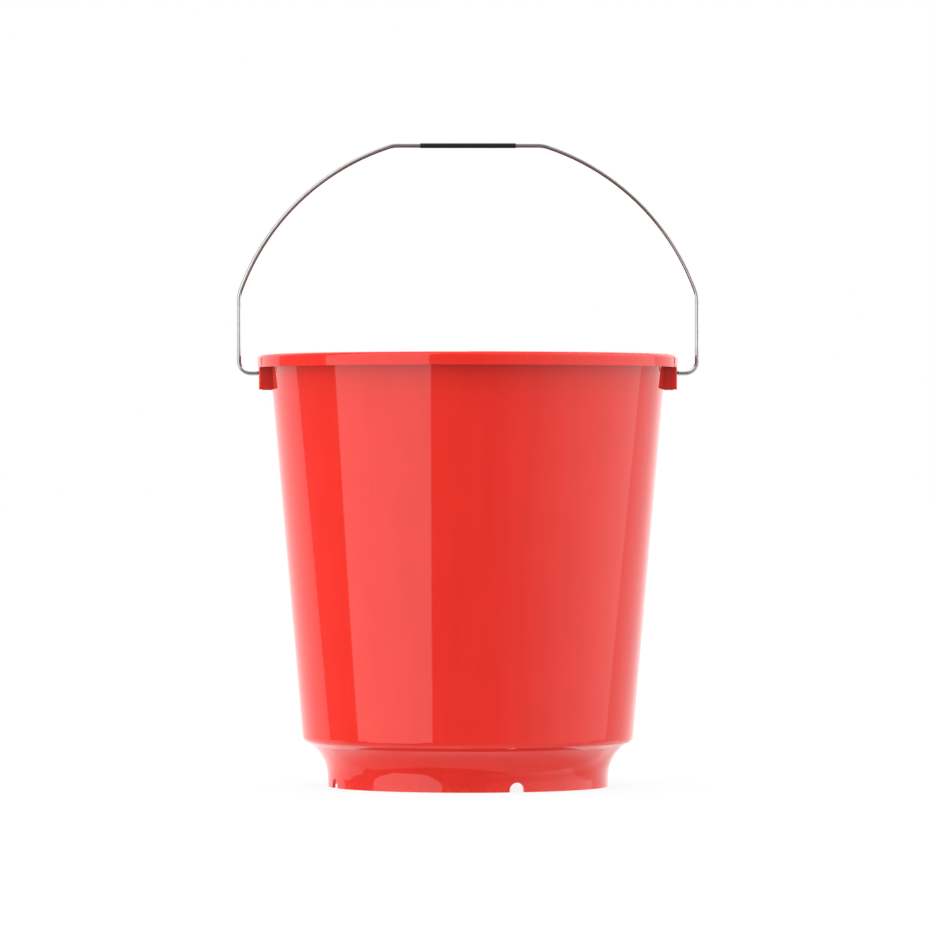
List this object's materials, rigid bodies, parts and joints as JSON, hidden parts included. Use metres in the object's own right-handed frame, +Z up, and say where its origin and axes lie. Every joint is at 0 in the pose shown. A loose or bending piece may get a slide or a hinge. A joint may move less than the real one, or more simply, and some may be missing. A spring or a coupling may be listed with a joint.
{
  "type": "wash bucket",
  "caption": "Round red plastic bucket with a rolled rim, flared foot ring and swinging wire bail with a black sleeve grip.",
  "frame": {"origin": "on the bucket's axis, on the surface that the foot ring stands on", "axes": "+Z up along the bucket's axis; the lugs, the bail's hinge axis and the bail's plane lie along X; the front is -Y"},
  "size_m": [0.322, 0.294, 0.4475],
  "materials": {
    "body_plastic": "glossy moulded polyethylene",
    "wire_steel": "bright zinc-plated drawn wire",
    "sleeve_plastic": "black extruded tube, satin"
  },
  "bodies": {
    "bucket": {"bucket_body": "body_plastic"},
    "bail": {"bail_wire": "wire_steel"},
    "grip": {"grip_sleeve": "sleeve_plastic"}
  },
  "joints": [
    {"name": "bail_swing", "type": "hinge", "parent": "bucket", "child": "bail", "pos_m": [0, 0, 0.2872], "axis": [1, 0, 0], "range_deg": [-123, 123]},
    {"name": "grip_spin", "type": "hinge", "parent": "bail", "child": "grip", "pos_m": [0, 0, 0.4458], "axis": [1, 0, 0], "continuous": true}
  ]
}
